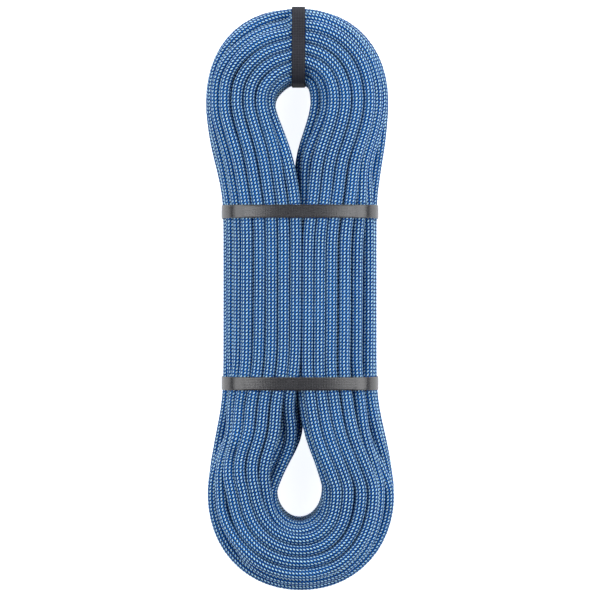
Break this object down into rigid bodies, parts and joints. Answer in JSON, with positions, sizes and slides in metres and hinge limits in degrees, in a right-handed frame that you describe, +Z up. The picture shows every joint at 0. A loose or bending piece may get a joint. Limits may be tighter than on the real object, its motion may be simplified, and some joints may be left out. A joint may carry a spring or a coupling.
{
  "type": "dynamic climbing rope",
  "caption": "Kernmantle climbing rope wound into a flat, waisted hank with a teardrop opening in each end loop, tied by woven straps, its ends tucked in.",
  "frame": {"origin": "middle of the hank's underside, on the surface that it lies on", "axes": "+Y along the hank towards the loop with the third strap, +X across the hank, +Z up through its thickness"},
  "size_m": [0.1526, 0.472, 0.099],
  "materials": {
    "sheath": "braided polyamide sheath, mid blue and navy yarns with a light blue pick in every second column",
    "core": "twisted white polyamide yarn",
    "strap": "charcoal woven tape with a satin sheen and a fine grain",
    "end_mark": "plain black heat-shrink sleeve",
    "melted_tip": "melted and hardened polyamide"
  },
  "bodies": {
    "root": {"rope_hank": "sheath", "upper_waist_strap": "strap", "lower_waist_strap": "strap", "top_strap": "strap", "end_a_sheath": "sheath", "end_a_core_strand_1": "core", "end_a_core_strand_2": "core", "end_a_core_strand_3": "core", "end_a_core_strand_4": "core", "end_a_core_strand_5": "core", "end_a_core_strand_6": "core", "end_a_core_strand_7": "core", "end_a_heat_shrink_mark": "end_mark", "end_a_melted_tip": "melted_tip", "end_b_sheath": "sheath", "end_b_core_strand_1": "core", "end_b_core_strand_2": "core", "end_b_core_strand_3": "core", "end_b_core_strand_4": "core", "end_b_core_strand_5": "core", "end_b_core_strand_6": "core", "end_b_core_strand_7": "core", "end_b_heat_shrink_mark": "end_mark", "end_b_melted_tip": "melted_tip"}
  },
  "joints": []
}
